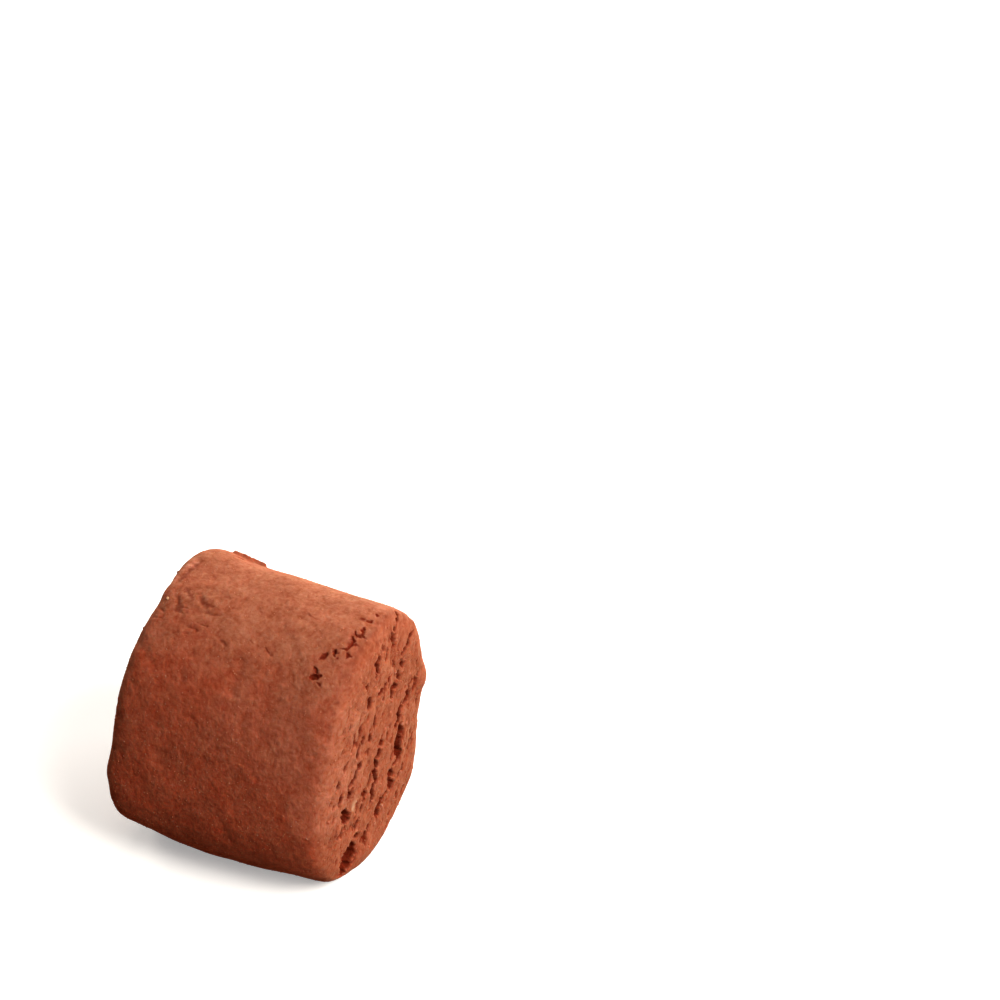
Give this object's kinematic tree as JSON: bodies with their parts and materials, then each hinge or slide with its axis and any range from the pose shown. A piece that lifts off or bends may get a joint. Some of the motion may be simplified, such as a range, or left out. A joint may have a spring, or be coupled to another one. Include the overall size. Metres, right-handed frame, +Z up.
{
  "type": "chocolate truffle",
  "caption": "Bite-sized block of soft cocoa and hazelnut paste with rounded sides, a crumbly open-textured cut end and a flat underside to rest on.",
  "frame": {"origin": "under the middle of the truffle, on the flat surface that it lies on", "axes": "+Z up; +X along the roll towards the crumbly cut end; the smooth front side faces -Y"},
  "size_m": [0.024, 0.0246, 0.0269],
  "materials": {
    "truffle": "matte"
  },
  "bodies": {
    "root": {"truffle": "truffle"}
  },
  "joints": []
}
